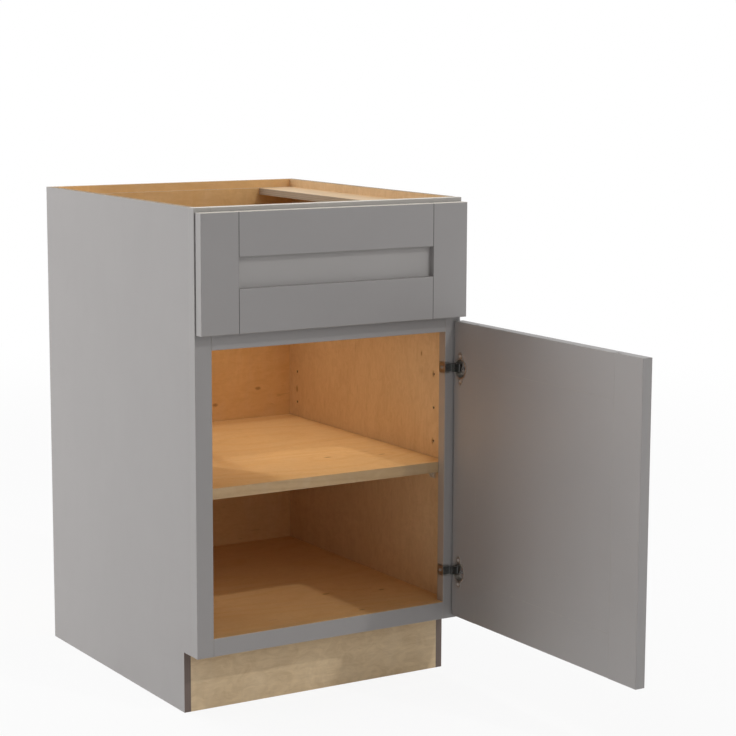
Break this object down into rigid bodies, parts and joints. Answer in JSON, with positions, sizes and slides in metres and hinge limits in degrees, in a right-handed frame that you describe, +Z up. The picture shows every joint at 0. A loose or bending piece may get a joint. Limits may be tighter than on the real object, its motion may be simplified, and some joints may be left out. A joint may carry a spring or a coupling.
{
  "type": "kitchen base cabinet",
  "caption": "Face-frame kitchen base cabinet with a dovetailed drawer on undermount slides over one cup-hinged door, an adjustable shelf, an open toe space and a cutlery insert.",
  "frame": {"origin": "on the floor, in the middle of the width, at the plane of the cabinet's back", "axes": "+X to the right as seen from the front, +Y to the back (the wall), +Z up"},
  "size_m": [0.5378, 1.1433, 0.8763],
  "materials": {
    "cabinet_side": "satin grey paint outside, clear-coated birch plywood inside",
    "birch_ply": "clear-coated birch plywood",
    "toe_maple": "bare hardwood plywood",
    "grey_paint": "satin grey paint on hardwood",
    "drawer_maple": "clear-coated solid hardwood",
    "insert_birch": "clear-coated birch",
    "nickel_steel": "nickel plated",
    "zinc_steel": "zinc plated",
    "grey_plastic": "moulded",
    "orange_plastic": "moulded",
    "clear_plastic": "moulded, milky clear"
  },
  "bodies": {
    "cabinet": {"side_panel_left": "cabinet_side", "side_panel_right": "cabinet_side", "back_panel": "birch_ply", "bottom_panel": "birch_ply", "toe_kick_board": "toe_maple", "hanging_rail_back": "birch_ply", "top_brace_left": "birch_ply", "top_brace_right": "birch_ply", "frame_stile_left": "grey_paint", "frame_stile_right": "grey_paint", "frame_rail_top": "grey_paint", "frame_rail_middle": "grey_paint", "frame_rail_bottom": "grey_paint", "shelf": "birch_ply", "shelf_supports": "clear_plastic", "hinge_arm_upper": "nickel_steel", "hinge_arm_lower": "nickel_steel", "hinge_plate_upper": "nickel_steel", "hinge_plate_lower": "nickel_steel", "slide_cabinet_left": "zinc_steel", "slide_cabinet_right": "zinc_steel", "slide_rear_bracket_left": "grey_plastic", "slide_rear_bracket_right": "grey_plastic"},
    "door": {"door_stile_free": "grey_paint", "door_stile_hinge": "grey_paint", "door_rail_top": "grey_paint", "door_rail_bottom": "grey_paint", "door_panel": "grey_paint", "hinge_cup_upper": "nickel_steel", "hinge_cup_lower": "nickel_steel", "hinge_pins": "nickel_steel", "hinge_dampers": "grey_plastic"},
    "drawer": {"drawer_front_stile_left": "grey_paint", "drawer_front_stile_right": "grey_paint", "drawer_front_rail_top": "grey_paint", "drawer_front_rail_bottom": "grey_paint", "drawer_front_panel": "grey_paint", "drawer_side_left": "drawer_maple", "drawer_side_right": "drawer_maple", "drawer_box_front": "drawer_maple", "drawer_box_back": "drawer_maple", "drawer_bottom": "drawer_maple", "slide_drawer_left": "zinc_steel", "slide_drawer_right": "zinc_steel", "drawer_catch_left": "grey_plastic", "drawer_catch_right": "grey_plastic", "insert_base": "insert_birch", "insert_wall_left": "insert_birch", "insert_wall_right": "insert_birch", "insert_dividers": "insert_birch", "insert_cover": "insert_birch"},
    "slide_middle_left": {"slide_middle_left": "zinc_steel"},
    "slide_middle_right": {"slide_middle_right": "zinc_steel"},
    "catch_lever_left": {"catch_lever_left": "orange_plastic"},
    "catch_lever_right": {"catch_lever_right": "orange_plastic"}
  },
  "joints": [
    {"name": "door_hinge", "type": "hinge", "parent": "cabinet", "child": "door", "pos_m": [0.2591, -0.6191, 0.385], "axis": [0, 0, 1], "range_deg": [-90, 15]},
    {"name": "drawer_slide", "type": "slide", "parent": "cabinet", "child": "drawer", "axis": [0, -1, 0], "range_m": [0, 0.508]},
    {"name": "slide_middle_left_run", "type": "slide", "parent": "cabinet", "child": "slide_middle_left", "axis": [0, -1, 0], "range_m": [0, 0.254]},
    {"name": "slide_middle_right_run", "type": "slide", "parent": "cabinet", "child": "slide_middle_right", "axis": [0, -1, 0], "range_m": [0, 0.254]},
    {"name": "catch_lever_left_swing", "type": "hinge", "parent": "drawer", "child": "catch_lever_left", "pos_m": [-0.17552, -0.54732, 0.68975], "axis": [0, 0, 1], "range_deg": [0, 12], "stiffness_Nm_per_rad": 0.2},
    {"name": "catch_lever_right_swing", "type": "hinge", "parent": "drawer", "child": "catch_lever_right", "pos_m": [0.17552, -0.54732, 0.68975], "axis": [0, 0, -1], "range_deg": [0, 12], "stiffness_Nm_per_rad": 0.2}
  ],
  "couplings": [
    {"joint": "slide_middle_left_run", "follows": "drawer_slide", "ratio": 0.5},
    {"joint": "slide_middle_right_run", "follows": "drawer_slide", "ratio": 0.5}
  ]
}
